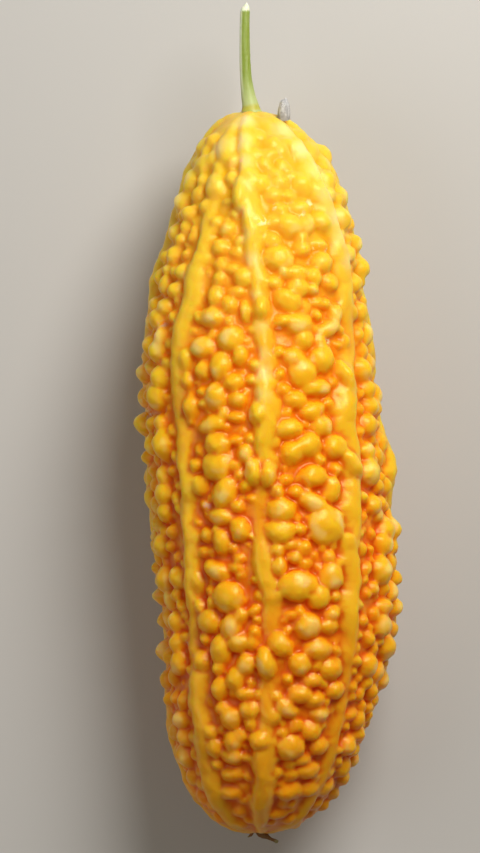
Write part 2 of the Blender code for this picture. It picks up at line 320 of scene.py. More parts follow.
RIGHT_SHOULDER = (  # flatter, as if half melted into the skin
    (0.063, -2.3, 1.6, 1.4), (0.063, 1.0, 1.7, 1.4), (0.080, 4.5, 1.7, 1.5),
    (0.092, 2.8, 1.8, 1.5), (0.093, 6.8, 1.5, 1.5), (0.105, -1.5, 2.2, 2.0),
    (0.103, 3.6, 2.0, 1.6), (0.105, 9.8, 2.4, 2.6), (0.120, 2.0, 2.0, 1.6),
    (0.122, 6.0, 1.6, 1.3), (0.140, 3.6, 1.8, 1.4), (0.138, 9.0, 2.4, 1.6),
    (0.162, 6.4, 2.9, 2.6), (0.160, 10.6, 2.2, 2.2), (0.157, 15.0, 2.8, 2.2),
    (0.195, 9.5, 2.2, 1.8), (0.188, 14.0, 2.4, 1.5), (0.183, 1.5, 2.0, 1.8),
    (0.207, 3.5, 3.2, 2.7), (0.213, 15.0, 2.8, 2.4), (0.228, 8.0, 2.8, 1.8),
    (0.240, 2.2, 1.8, 1.6), (0.247, 8.3, 2.6, 2.2), (0.240, 16.8, 2.2, 2.0),
    (0.265, 5.8, 3.2, 2.4, -30), (0.267, 13.0, 1.8, 1.3), (0.283, 18.0, 2.0, 2.4),
    (0.057, -11.3, 2.3, 4.0, 8), (0.108, -13.9, 2.4, 3.1, 20), (0.082, -13.0, 1.6, 1.8),
    (0.118, -18.3, 1.7, 1.9), (0.100, -17.0, 1.5, 1.7), (0.136, -16.2, 1.5, 1.7),
)
RIGHT_FURROW = (
    (0.296, 8.6, 3.2, 2.5), (0.303, 16.5, 3.4, 1.8, 25), (0.318, 10.0, 2.2, 2.4),
    (0.320, 20.5, 1.7, 1.7), (0.323, 13.8, 1.6, 2.2), (0.343, 7.2, 2.6, 2.0),
    (0.345, 15.0, 3.0, 3.2), (0.364, 9.8, 3.1, 3.2), (0.384, 13.0, 3.8, 1.9),
    (0.386, 4.5, 1.7, 1.3), (0.401, 7.7, 2.4, 2.0), (0.416, 12.3, 3.1, 1.9, 15),
    (0.436, 14.7, 2.6, 2.5), (0.440, 6.0, 3.2, 2.3), (0.458, 2.0, 1.5, 1.5),
    (0.463, 11.0, 3.2, 2.6), (0.474, 6.8, 2.6, 2.6), (0.465, 18.2, 3.0, 2.6),
    (0.506, 12.5, 3.2, 2.4), (0.510, 4.8, 1.6, 1.2), (0.526, 7.7, 1.8, 1.4),
    (0.525, 17.3, 2.3, 3.0), (0.541, 12.5, 3.6, 2.0, -30), (0.553, 4.0, 2.9, 2.8),
    (0.580, 3.6, 3.2, 2.7), (0.573, 16.5, 4.2, 4.2, -30), (0.594, 21.4, 2.5, 2.3),
    (0.604, 9.8, 1.7, 1.6), (0.598, 6.5, 2.2, 1.2, 20), (0.615, 7.4, 1.8, 1.5),
    (0.628, 3.3, 1.7, 2.3), (0.625, 10.2, 1.6, 1.4), (0.623, 18.6, 1.8, 1.2),
    (0.643, 17.2, 2.9, 3.1), (0.655, 8.8, 4.2, 3.2), (0.670, 13.8, 2.6, 2.9, 25),
    (0.667, 3.0, 1.4, 1.4), (0.690, 8.6, 1.4, 1.3), (0.695, 6.5, 1.6, 1.2),
    (0.693, 17.3, 2.0, 1.8), (0.710, 10.8, 3.0, 2.8), (0.710, 16.3, 2.3, 1.7),
    (0.735, 3.7, 3.0, 2.4, -35), (0.742, 13.7, 3.1, 2.4), (0.762, 9.0, 2.5, 2.5),
    (0.768, 17.3, 2.7, 2.6), (0.784, 12.0, 2.3, 1.7), (0.798, 18.2, 2.6, 1.9),
    (0.803, 9.0, 2.8, 2.1), (0.811, 12.8, 2.4, 1.9), (0.806, 2.3, 1.8, 1.2),
    (0.822, 5.3, 2.8, 1.9, -40), (0.834, 1.3, 2.3, 2.1), (0.830, 14.2, 2.3, 2.0),
    (0.846, 7.5, 1.8, 1.6), (0.853, 12.0, 2.6, 2.2), (0.855, 4.2, 1.6, 1.4),
    (0.875, 6.5, 3.3, 2.9), (0.876, 14.0, 2.3, 2.0), (0.893, 9.6, 2.2, 1.4),
    (0.914, 6.3, 2.0, 1.6), (0.908, 11.3, 2.7, 2.0), (0.937, 6.8, 3.1, 2.2),
    (0.933, 11.5, 2.6, 1.9), (0.970, 3.8, 2.0, 1.5),
)
RIDGE_BUMPS = (  # lumps of the ridges that show
    (0.275, -1.5, 2.2, 3.5), (0.499, -3.4, 2.3, 3.6), (0.501, 0.4, 2.3, 3.6),
    (0.865, -1.5, 3.0, 3.0), (0.375, 22.0, 2.3, 5.5, 24), (0.490, 23.3, 2.4, 5.0, 32),
    (0.420, -2.0, 2.6, 3.2), (0.120, -6.8, 2.4, 5.5), (0.760, -0.3, 2.4, 4.2, 10),
)
LEFT_SIDE = (
    (0.145, -20.3, 1.7, 1.6), (0.225, -22.0, 1.6, 1.6), (0.250, -24.0, 1.8, 1.6),
    (0.272, -26.5, 1.8, 1.8), (0.290, -28.5, 2.2, 2.2), (0.313, -27.5, 1.8, 1.8),
    (0.333, -28.5, 2.2, 2.2), (0.370, -28.0, 2.3, 2.3), (0.395, -29.0, 2.6, 2.6),
    (0.432, -27.5, 1.6, 1.6), (0.460, -27.5, 2.4, 3.0), (0.530, -27.0, 2.2, 2.2),
    (0.555, -26.5, 2.0, 2.0), (0.600, -27.5, 2.3, 2.3), (0.648, -26.8, 2.6, 2.6),
    (0.705, -23.5, 2.0, 2.0), (0.735, -23.3, 2.0, 2.0),
)
RIGHT_SIDE = (
    (0.360, 25.5, 2.3, 2.3), (0.385, 26.5, 2.0, 2.0), (0.410, 27.5, 2.5, 1.8),
    (0.435, 27.0, 2.3, 2.0), (0.470, 26.5, 2.2, 1.7), (0.500, 27.5, 2.6, 2.6),
    (0.520, 31.0, 1.8, 1.8), (0.545, 28.0, 2.0, 2.0), (0.558, 28.8, 1.6, 1.6),
    (0.580, 31.5, 2.6, 2.6), (0.598, 31.0, 2.6, 2.2), (0.635, 30.8, 2.8, 2.6),
    (0.660, 28.0, 1.3, 1.3), (0.685, 31.0, 2.5, 1.6), (0.710, 30.5, 2.4, 2.4),
    (0.728, 26.8, 1.5, 1.5), (0.740, 32.0, 2.6, 2.6), (0.765, 27.0, 2.2, 2.2),
    (0.840, 24.0, 1.8, 1.8), (0.875, 21.5, 2.0, 2.0), (0.905, 20.5, 2.2, 2.2),
)
# The warts that stand out at the two sides: (share, how far out the tip is, half the length).
OUTSTANDING = (
    (0.137, -23.5, 1.3), (0.155, -24.0, 1.3), (0.320, -32.0, 1.6), (0.340, -32.8, 1.9),
    (0.363, -34.3, 2.4), (0.397, -33.7, 2.4), (0.434, -34.9, 2.7), (0.478, -32.9, 2.0),
    (0.602, -30.5, 2.4), (0.632, -30.1, 1.8), (0.648, -29.4, 2.0), (0.672, -29.7, 2.2),
    (0.705, -28.4, 2.2), (0.747, -28.8, 2.6), (0.855, -25.3, 1.6), (0.885, -24.4, 1.8),
    (0.065, 17.3, 2.6), (0.085, 17.9, 1.8), (0.108, 19.4, 1.6), (0.135, 20.6, 1.4),
    (0.157, 23.0, 1.6), (0.185, 25.0, 2.0), (0.205, 24.7, 1.5), (0.220, 27.1, 2.5),
    (0.238, 25.9, 1.3), (0.265, 26.2, 1.7), (0.350, 28.5, 2.2), (0.368, 28.2, 1.5),
    (0.395, 30.2, 2.7), (0.412, 30.5, 2.1), (0.560, 32.8, 1.8), (0.580, 35.3, 2.6),
    (0.602, 34.6, 2.0), (0.625, 34.3, 2.0), (0.647, 35.6, 2.0), (0.687, 35.7, 2.2),
    (0.787, 32.1, 2.4), (0.815, 29.1, 1.9), (0.845, 27.2, 1.6), (0.865, 25.7, 1.6),
    (0.895, 24.5, 2.0), (0.920, 22.7, 2.0), (0.940, 20.6, 1.6), (0.957, 18.1, 1.6),
)
TALLEST = 0.0044  # the height that even the widest warts don't reach
STEEPNESS = 1.3  # height over half width of the small ones
PLUMP = 1.36  # how much wider a listed wart is at its foot than what shows of it
BEAD_LIFT = 0.18  # of a wart's half width: its widest part stands this far off the skin
SIDE_PLUMP = 1.2  # the warts at the sides are this much wider and taller
OUTSTANDING_PLUMP = 1.5
OUTSTANDING_TURN = (-5, 2)  # degrees past the side, by chance
WORN_OFF = 0.0005  # what softening takes off a tip
RIDGE_BUMP_HEIGHT = 0.0048
RIDGE_PLUMP = 1.15
SEEN_DEPTH = 0.5  # of its half width: where the middle of what shows of a wart lies

WART_SEED = 11
MOST_WARTS = 6000
WART_SIZES = (  # (half width, how many places are tried)
    (0.0034, 900),
    (0.0029, 1600),
    (0.0024, 2600),
    (0.0020, 2600),
    (0.0016, 3000),
    (0.0013, 2200),
    (0.0010, 1400),
)
SIZE_SPREAD = (0.88, 1.12)
STRETCH_SPREAD = (0.85, 1.2)
HEIGHT_SPREAD = (0.8, 1.1)
LEAN_SPREAD = 0.07
LEAN_TO_BLOSSOM = (0, -0.08, 0)
POINTED_BEYOND = -75  # degrees: on that side and underneath some warts are pointed
POINTED_CHANCE = 0.4
SMALL_BOOST = 0.0004  # added to the height of those that chance places
FIRST_SHARE = 0.035
LAST_SHARE = 0.985
BIGGEST_IN_SIGHT = 0.0022  # of those that chance places among the listed warts
SIGHT_ANGLE = 60  # degrees each side of straight up
WART_CLOSENESS = 0.72  # of two warts' half widths: how near their middles come
MELTED_AT = (0.02, 0.10, 0.17, 0.30)  # on the right shoulder warts are half melted
MELTED_TO = (0.60, 0.90, 1.00, 1.05)  # this share of their height
MELTED_ANGLE = 58
MELTED_ROUND_STEM = 0.13  # share of the length, all round
MELTED_CLOSENESS = 0.64
SMALLEST_MELTED = 0.0017  # half width: the melted skin has no small warts
FLATTER_FROM = 0.87  # share of the length: the warts sink again towards the blossom end
FLATTEST = 0.55
OVERLAP_AT = (0.20, 0.30)  # from here on warts run up the ridges' feet
RIDGE_OVERLAP = (-0.10, 0.30)  # of their half width
chance = np.random.default_rng(WART_SEED)


def wart_height(half_width):
    return TALLEST * np.tanh(STEEPNESS * half_width / TALLEST)


def wart(share, degrees, across, along, height, tilt=0.0, pointed=0.0):
    """One wart: its place on the skin, its half width and half length, its height and shape."""
    return (share, degrees, across, along, height, math.radians(tilt), pointed)


def melted_to(share):
    return float(np.interp(share, MELTED_AT, MELTED_TO))


def seen_at(share, sideways, lift):
    """The angle in degrees at which a wart shows sideways of the straight middle line."""
    reach = float(skin_radius(share)) + lift
    turn = (sideways * MILLIMETRE - float(spine_shift(share))) / reach
    return math.degrees(math.asin(max(-0.99, min(0.99, turn))))


def hand_placed():
    made = []
    for rows, plumper, half_melted in (
        (LEFT_FURROW, 1.0, False),
        (RIGHT_SHOULDER, 1.0, True),
        (RIGHT_FURROW, 1.0, False),
        (LEFT_SIDE, SIDE_PLUMP, False),
        (RIGHT_SIDE, SIDE_PLUMP, False),
    ):
        for share, sideways, across, along, *tilt in rows:
            plump = PLUMP * plumper * MILLIMETRE
            across, along = across * plump, along * plump
            size = math.sqrt(across * along)
            degrees = seen_at(share, sideways, SEEN_DEPTH * size)
            height = float(wart_height(size)) * (melted_to(share) if half_melted else plumper)
            made.append(wart(share, degrees, across, along, height, *tilt))
    for share, sideways, across, along, *tilt in RIDGE_BUMPS:
        degrees = seen_at(share, sideways, RIDGE_HEIGHTS[1])
        height = RIDGE_BUMP_HEIGHT * float(fullness(share))
        across, along = across * RIDGE_PLUMP * MILLIMETRE, along * RIDGE_PLUMP * MILLIMETRE
        made.append(wart(share, degrees, across, along, height, *tilt))
    for share, tip, half_length in OUTSTANDING:
        side = math.copysign(1, tip)
        height = abs(tip * MILLIMETRE - float(spine_shift(share))) - float(skin_radius(share))
        height += WORN_OFF
        half_length *= OUTSTANDING_PLUMP * MILLIMETRE
        pointed = 1.0 if side < 0 and height > half_length else 0.0
        degrees = side * (90 + chance.uniform(*OUTSTANDING_TURN))
        made.append(wart(share, degrees, half_length, half_length, height, 0, pointed))
    return made


def scattered(made):
    """Places for the other warts, the biggest first, each clear of those before it."""
    made = list(made)
    spots = np.zeros((MOST_WARTS, 3))
    sizes = np.zeros(MOST_WARTS)
    table = np.array(made)
    spots[: len(made)], _ = skin_frame(table[:, 0], table[:, 1], np.zeros(len(made)))
    sizes[: len(made)] = np.sqrt(table[:, 2] * table[:, 3])
    for radius, tries in WART_SIZES:
        share = chance.uniform(FIRST_SHARE, LAST_SHARE, tries)
        degrees = chance.uniform(-180, 180, tries)
        stretch = chance.uniform(*STRETCH_SPREAD, tries)
        size = radius * chance.uniform(*SIZE_SPREAD, tries) * (0.5 + 0.5 * fullness(share))
        clear = np.full(tries, 1.0)
        for number in range(len(RIDGE_ANGLES)):
            across = off_crest(number, share, degrees)
            edge = np.abs(across) - ridge_half_width(number, share, np.sign(across))
            clear = np.minimum(clear, edge)
        melted = (share < MELTED_AT[-1]) & (degrees > 0) & (degrees < MELTED_ANGLE)
        melted = melted | (share < MELTED_ROUND_STEM)
        in_sight = (np.abs(degrees) < SIGHT_ANGLE) & ~melted
        too_small = melted & (radius < SMALLEST_MELTED)
        overlap = np.interp(share, OVERLAP_AT, RIDGE_OVERLAP) * size
        fits = (clear > -overlap) & ~(in_sight & (radius > BIGGEST_IN_SIGHT)) & ~too_small
        points, _ = skin_frame(share, degrees, np.zeros(tries))
        for i in np.flatnonzero(fits):
            count = len(made)
            apart = np.linalg.norm(spots[:count] - points[i], axis=1)
            closeness = MELTED_CLOSENESS if melted[i] else WART_CLOSENESS
            if (apart < closeness * (sizes[:count] + size[i])).any():
                continue
            spots[count], sizes[count] = points[i], size[i]
            height = float(wart_height(size[i])) * chance.uniform(*HEIGHT_SPREAD)
            height = (SMALL_BOOST + height) * (melted_to(share[i]) if melted[i] else 1.0)
            pointed = float(degrees[i] < POINTED_BEYOND and chance.uniform() < POINTED_CHANCE)
            made.append(
                wart(
                    share[i], degrees[i], size[i] * stretch[i], size[i] / stretch[i], height,
                    chance.uniform(-90, 90), pointed,
                )
            )
    return made


def wart_places():
    """A mesh of loose points, one for each wart, that holds the warts' sizes and leans."""
    table = np.array(scattered(hand_placed()))
    share, degrees, across, along, height, tilt, pointed = table.T
    height = height * np.interp(share, (FLATTER_FROM, 1.0), (1.0, FLATTEST))
    lift = BEAD_LIFT * np.minimum(across, along)
    points, normals = skin_frame(share, degrees, lift)
    lean = chance.normal(0, LEAN_SPREAD, points.shape) + np.array(LEAN_TO_BLOSSOM)
    mesh = mesh_from("wart_places", points, [])
    set_attribute(mesh, "facing", normals + lean, "FLOAT_VECTOR")
    set_attribute(mesh, "across", across)
    set_attribute(mesh, "along", along)
    set_attribute(mesh, "tall", height - lift)
    set_attribute(mesh, "turn", tilt)
    set_attribute(mesh, "pointed", pointed)
    return mesh


places = add_object("wart_places", wart_places())


class Wire:
    """An output of a node in a shader or geometry tree. Python's operators on it add Math nodes."""

    def __init__(self, tree, socket=None):
        self.tree = tree
        self.socket = socket

    def node(self, kind, settings=None, values=None, output=0):
        """Adds a node: its settings are set first, then its sockets' values or links."""
        made = self.tree.nodes.new(kind)
        for name, value in (settings or {}).items():
            setattr(made, name, value)
        for name, value in (values or {}).items():
            if isinstance(value, Wire):
                self.tree.links.new(value.socket, made.inputs[name])
            else:
                made.inputs[name].default_value = value
        return Wire(self.tree, made.outputs[output])

    def maths(self, operation, first, second=0.0, clamp=False):
        settings = {"operation": operation, "use_clamp": clamp}
        return self.node("ShaderNodeMath", settings, {0: first, 1: second})

    def vectors(self, operation, other, output=0):
        settings = {"operation": operation}
        return self.node("ShaderNodeVectorMath", settings, {0: self, 1: other}, output)

    def scaled(self, amount):
        values = {0: self, "Scale": amount}
        return self.node("ShaderNodeVectorMath", {"operation": "SCALE"}, values)

    def __add__(self, other):
        return self.maths("ADD", self, other)

    def __radd__(self, other):
        return self.maths("ADD", other, self)

    def __sub__(self, other):
        return self.maths("SUBTRACT", self, other)

    def __rsub__(self, other):
        return self.maths("SUBTRACT", other, self)

    def __mul__(self, other):
        return self.maths("MULTIPLY", self, other)

    def __truediv__(self, other):
        return self.maths("DIVIDE", self, other)

    def clamped(self):
        return self.maths("ADD", self, 0.0, clamp=True)

    def at_least(self, other):
        return self.maths("MAXIMUM", self, other)

    def cosine(self):
        return self.maths("COSINE", self)

    def parts(self):
        """The x, y and z of a vector."""
        split = self.tree.nodes.new("ShaderNodeSeparateXYZ")
        self.tree.links.new(self.socket, split.inputs[0])
        return [Wire(self.tree, socket) for socket in split.outputs]

    def joined(self, x, y, z):
        return self.node("ShaderNodeCombineXYZ", None, {0: x, 1: y, 2: z})

    def between(self, low, high):
        """0 below low and 1 above high, with a smooth step between them."""
        return self.node(
            "ShaderNodeMapRange",
            {"interpolation_type": "SMOOTHSTEP"},
            {"Value": self, "From Min": low, "From Max": high},
        )

    def noise(self, scale, detail=2.0):
        values = {"Vector": self, "Scale": scale, "Detail": detail}
        return self.node("ShaderNodeTexNoise", None, values)


def geometry_tree(name, inputs):
    """A geometry tree with named inputs, and the wires of those inputs."""
    tree = bpy.data.node_groups.new(name, "GeometryNodeTree")
    tree.interface.new_socket("Geometry", in_out="INPUT", socket_type="NodeSocketGeometry")
    for label, kind in inputs:
        tree.interface.new_socket(label, in_out="INPUT", socket_type=kind)
    tree.interface.new_socket("Geometry", in_out="OUTPUT", socket_type="NodeSocketGeometry")
    entry = tree.nodes.new("NodeGroupInput")
    return tree, {socket.name: Wire(tree, socket) for socket in entry.outputs if socket.name}


def close_tree(tree, geometry):
    made = tree.nodes.new("NodeGroupOutput")
    tree.links.new(geometry.socket, made.inputs["Geometry"])


def join(tree, *geometries):
    made = tree.nodes.new("GeometryNodeJoinGeometry")
    for geometry in geometries:
        tree.links.new(geometry.socket, made.inputs[0])
    return Wire(tree, made.outputs[0])


def run_tree(obj, tree, values):
    """Puts a geometry tree on an object, with its inputs set by their sockets' identifiers."""
    modifier = obj.modifiers.new(tree.name, "NODES")
    modifier.node_group = tree
    for item in tree.interface.items_tree:
        if item.in_out == "INPUT" and item.name in values:
            modifier[item.identifier] = values[item.name]
    return modifier


def named(tree, name, kind="FLOAT"):
    """The wire of a stored attribute in a geometry tree."""
    return Wire(tree).node("GeometryNodeInputNamedAttribute", {"data_type": kind}, {"Name": name})


def store(tree, geometry, name, value, kind="FLOAT"):
    return geometry.node(
        "GeometryNodeStoreNamedAttribute",
        {"data_type": kind, "domain": "POINT"},
        {"Geometry": geometry, "Name": name, "Value": value},
    )


def evaluated(obj, name):
    """A plain mesh of an object as its modifiers leave it."""
    graph = bpy.context.evaluated_depsgraph_get()
    mesh = bpy.data.meshes.new_from_object(obj.evaluated_get(graph))
    mesh.name = name
    return mesh


def wart_tree():
    """Sets an egg-shaped dome on each place, blunt or pointed, and joins the domes to the skin."""
    tree, entry = geometry_tree(
        "grow_warts",
        (
            ("Wart Places", "NodeSocketObject"),
            ("Dome Sides", "NodeSocketInt"),
            ("Dome Rings", "NodeSocketInt"),
            ("Blunt Narrowing", "NodeSocketFloat"),
            ("Pointed Narrowing", "NodeSocketFloat"),
            ("Skin Material", "NodeSocketMaterial"),
        ),
    )
    start = entry["Geometry"]
    spots = start.node("GeometryNodeObjectInfo", None, {"Object": entry["Wart Places"]}, "Geometry")
    ball = start.node(
        "GeometryNodeMeshUVSphere",
        None,
        {"Segments": entry["Dome Sides"], "Rings": entry["Dome Rings"], "Radius": 1.0},
        "Mesh",
    )
    x, y, z = start.node("GeometryNodeInputPosition").parts()
    facing = {"Vector": named(tree, "facing", "FLOAT_VECTOR")}
    upright = start.node("FunctionNodeAlignRotationToVector", {"axis": "Z"}, facing)
    turn = {"Axis": (0, 0, 1), "Angle": named(tree, "turn")}
    turned = start.node(
        "FunctionNodeRotateRotation",
        {"rotation_space": "LOCAL"},
        {"Rotation": upright, "Rotate By": start.node("FunctionNodeAxisAngleToRotation", None, turn)},
    )
    size = start.joined(named(tree, "across"), named(tree, "along"), named(tree, "tall"))
    pointed = named(tree, "pointed")
    grown = []
    for label, chosen in (("Blunt", 1 - pointed), ("Pointed", pointed)):
        thinner = 1 - entry[f"{label} Narrowing"] * z
        shape = start.joined(x * thinner, y * thinner, z)
        dome = start.node("GeometryNodeSetPosition", None, {"Geometry": ball, "Position": shape})
        here = start.node(
            "GeometryNodeInstanceOnPoints",
            None,
            {"Points": spots, "Selection": chosen, "Instance": dome, "Rotation": turned, "Scale": size},
        )
        grown.append(start.node("GeometryNodeRealizeInstances", None, {"Geometry": here}))
    whole = {"Geometry": join(tree, *grown, start), "Material": entry["Skin Material"]}
    close_tree(tree, start.node("GeometryNodeSetMaterial", None, whole))
    return tree


ROUND_STEM_MELTED = 0.7
ROUND_STEM_FADE = (0.03, 0.10)  # shares of the length between which that melting fades
SHOULDER_FADE = (0.10, 0.26)  # and the right shoulder's
SHOULDER_EDGE = (-0.007, 0.0)  # where the shoulder's melting sets in, across the fruit
SHOULDER_STEP = 0.004  # and over how much height


def settle_tree():
    """Softens the creases, makes the skin uneven, presses it on the table and reads its relief."""
    tree, entry = geometry_tree(
        "settle_skin",
        (
            ("Softening", "NodeSocketInt"),
            ("Melting", "NodeSocketInt"),
            ("Melted By", "NodeSocketFloat"),
            ("Melted Above", "NodeSocketFloat"),
            ("Stem End", "NodeSocketFloat"),
            ("Uneven Scale", "NodeSocketFloat"),
            ("Uneven By", "NodeSocketFloat"),
            ("Table", "NodeSocketFloat"),
            ("Crease Reach", "NodeSocketInt"),
            ("Furrow Reach", "NodeSocketInt"),
            ("Bare Skin", "NodeSocketObject"),
        ),
    )
    start = entry["Geometry"]
    at = start.node("GeometryNodeInputPosition")
    normal = start.node("GeometryNodeInputNormal")

    def blurred(iterations):
        values = {"Value": at, "Iterations": iterations}
        return start.node("GeometryNodeBlurAttribute", {"data_type": "FLOAT_VECTOR"}, values)

    x, y, z = at.parts()
    share = (entry["Stem End"] - y) / FRUIT_LENGTH
    round_stem = 1 - share.between(*ROUND_STEM_FADE)
    shoulder = (1 - share.between(*SHOULDER_FADE)) * x.between(*SHOULDER_EDGE)
    shoulder = shoulder * z.between(entry["Melted Above"], entry["Melted Above"] + SHOULDER_STEP)
    melted = (round_stem * ROUND_STEM_MELTED).at_least(shoulder * entry["Melted By"])
    soft = at.node(
        "ShaderNodeMix",
        {"data_type": "VECTOR"},
        {0: melted, 4: blurred(entry["Softening"]), 5: blurred(entry["Melting"])},
        1,
    )
    smooth = start.node("GeometryNodeSetPosition", None, {"Geometry": start, "Position": soft})
    push = (at.noise(entry["Uneven Scale"], 1.0) - 0.5) * entry["Uneven By"] * 2.0
    push = {"Geometry": smooth, "Offset": normal.scaled(push)}
    uneven = start.node("GeometryNodeSetPosition", None, push)
    pressed = {"Geometry": uneven, "Position": start.joined(x, y, z.at_least(entry["Table"]))}
    settled = start.node("GeometryNodeSetPosition", None, pressed)
    bare = start.node("GeometryNodeObjectInfo", None, {"Object": entry["Bare Skin"]}, "Geometry")
    rise = start.node("GeometryNodeProximity", {"target_element": "FACES"}, {0: bare}, "Distance")
    ridge = start.node(
        "GeometryNodeSampleNearestSurface",
        {"data_type": "FLOAT"},
        {"Mesh": bare, "Value": named(tree, "ridge")},
    )
    settled = store(tree, settled, "rise", rise)
    settled = store(tree, settled, "ridge", ridge)
    for name, reach in (("crease", entry["Crease Reach"]), ("furrow", entry["Furrow Reach"])):
        sunk = blurred(reach).vectors("SUBTRACT", at)
        settled = store(tree, settled, name, sunk.vectors("DOT_PRODUCT", normal, "Value"))
    close_tree(tree, store(tree, settled, "facing", normal, "FLOAT_VECTOR"))
    return tree


def reading_tree(names):
    """Copies what was read from the fine skin to the thinned one, which then gets its material."""
    tree, entry = geometry_tree(
        "read_skin",
        (("Fine Skin", "NodeSocketObject"), ("Skin Material", "NodeSocketMaterial")),
    )
    start = entry["Geometry"]
    fine = start.node("GeometryNodeObjectInfo", None, {"Object": entry["Fine Skin"]}, "Geometry")
    stored = start
    for name, kind in names:
        values = {"Mesh": fine, "Value": named(tree, name, kind)}
        value = start.node("GeometryNodeSampleNearestSurface", {"data_type": kind}, values)
        stored = store(tree, stored, name, value, kind)
    painted = {"Geometry": stored, "Material": entry["Skin Material"]}
    close_tree(tree, start.node("GeometryNodeSetMaterial", None, painted))
    return tree


def new_paint(name):
    made = bpy.data.materials.new(name)
    made.use_nodes = True
    return made


VOXEL = 0.0004
SKIN_TRIANGLES = 196000

skin_paint = new_paint("ripe_skin")

grown = add_object("fruit_grown", skin.data.copy())
run_tree(
    grown,
    wart_tree(),
    {
        "Wart Places": places,
        "Dome Sides": 12,
        "Dome Rings": 7,
        "Blunt Narrowing": 0.10,
        "Pointed Narrowing": 0.30,
        "Skin Material": skin_paint,
    },
)
fuse = grown.modifiers.new("fuse", "REMESH")
fuse.mode = "VOXEL"
fuse.voxel_size = VOXEL
fuse.use_smooth_shade = True
run_tree(
    grown,
    settle_tree(),
    {
        "Softening": 3,
        "Melting": 12,
        "Melted By": 0.45,
        "Melted Above": middle.z + 0.010,
        "Stem End": middle.y + FRUIT_LENGTH / 2,
        "Uneven Scale": 260.0,
        "Uneven By": 0.0006,
        "Table": fruit_low.z,
        "Crease Reach": 5,
        "Furrow Reach": 40,
        "Bare Skin": skin,
    },
)
fine = add_object("fruit_fine", evaluated(grown, "fruit_fine"))
bpy.data.objects.remove(grown)
fine.data.calc_loop_triangles()
fine_triangles = len(fine.data.loop_triangles)

READINGS = (
    ("rise", "FLOAT"),
    ("ridge", "FLOAT"),
    ("crease", "FLOAT"),
    ("furrow", "FLOAT"),
    ("facing", "FLOAT_VECTOR"),
)
fruit = add_object("ripe_fruit", fine.data)
thin = fruit.modifiers.new("thin_out", "DECIMATE")
thin.ratio = min(1.0, SKIN_TRIANGLES / fine_triangles)
run_tree(fruit, reading_tree(READINGS), {"Fine Skin": fine, "Skin Material": skin_paint})
fruit_mesh = evaluated(fruit, "ripe_fruit")
fruit.modifiers.clear()
fruit.data = fruit_mesh
for helper in (skin, places, fine):
    bpy.data.objects.remove(helper)
fruit_mesh.shade_smooth()
facing = np.zeros(len(fruit_mesh.vertices) * 3, np.float32)
fruit_mesh.attributes["facing"].data.foreach_get("vector", facing)
facing = facing.reshape(-1, 3)
fruit_mesh.attributes.remove(fruit_mesh.attributes["facing"])
fruit_mesh.normals_split_custom_set_from_vertices([tuple(one) for one in facing])

# Patches of the skin: (share of the length, degrees, radius in millimetres). Scabs are small
# and dried; beads of sap dried white, partly painted glints; pale patches are painted highlights.
SCABS = (
    (0.300, -62, 2.2), (0.420, -80, 2.4), (0.445, -74, 1.6), (0.545, -33, 1.4), (0.735, -55, 1.2),
)
# Dried sap in the creases, its pale specks also painted glints.
JUICE_AND_GLINT_SPOTS = (
    (0.160, 0, 2.6), (0.137, 10, 1.2), (0.147, 27, 1.5), (0.133, 36, 1.6), (0.190, 36, 1.6),
    (0.200, 30, 1.3), (0.195, 44, 1.0), (0.232, -4, 1.4), (0.252, 28, 1.3), (0.300, 12, 1.2),
    (0.320, 40, 1.4), (0.340, 6, 1.4), (0.395, -88, 2.6), (0.410, -82, 2.0), (0.600, 30, 1.0),
)
# Painted highlights: cream patches on the tops of warts and the crests of ridges.
PAINTED_HIGHLIGHT_PATCHES = (
    (0.030, 40, 4.0), (0.060, 44, 4.0), (0.090, 48, 4.2), (0.120, 50, 4.4), (0.150, 55, 4.8),
    (0.180, 58, 4.4), (0.210, 60, 3.8), (0.360, 50, 3.2), (0.385, 52, 3.4), (0.410, 53, 3.0),
    (0.340, 2, 3.0), (0.365, 2, 3.6), (0.395, 1, 3.4), (0.300, 2, 2.6), (0.260, -1, 2.4),
    (0.485, 47, 3.0), (0.500, 50, 3.4), (0.520, 54, 3.0), (0.020, -16, 3.6), (0.050, -17, 3.8),
    (0.080, -16, 3.8), (0.110, -14, 3.6), (0.145, -11, 3.4), (0.175, -9, 3.2), (0.210, -5, 3.2),
    (0.057, -38, 3.6), (0.108, -38, 2.6), (0.497, -9, 3.0), (0.497, 0, 3.0), (0.235, -46, 2.6),
    (0.320, -30, 1.8), (0.672, -22, 2.4), (0.640, 28, 2.2), (0.345, 30, 1.8), (0.420, -6, 2.6),
)
PATCH_HEIGHT = 0.001  # of their middles, above the bare skin
PATCH_EDGE = 1.5  # how sharply a patch ends: 1 fades right from its middle
corners = np.zeros(len(fruit_mesh.vertices) * 3, np.float32)
fruit_mesh.vertices.foreach_get("co", corners)
corners = corners.reshape(-1, 3)


def patches(places):
    """1 in the middle of each patch, falling to 0 at its edge, for each corner of the skin."""
    inside = np.zeros(len(corners))
    for share, degrees, radius in places:
        spot, _ = skin_frame(np.array([share]), np.array([degrees]), np.array([PATCH_HEIGHT]))
        apart = np.linalg.norm(corners - spot[0], axis=1)
        inside = np.maximum(inside, PATCH_EDGE * (1 - apart / (radius * MILLIMETRE)))
    return np.minimum(inside, 1)


# Scabs, dried sap that is partly painted glints, and painted highlight patches.
for name, places in (("scab", SCABS), ("juice_and_glint", JUICE_AND_GLINT_SPOTS), ("pale", PAINTED_HIGHLIGHT_PATCHES)):
    set_attribute(fruit_mesh, name, patches(places))
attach(fruit, "root")
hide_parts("fruit")

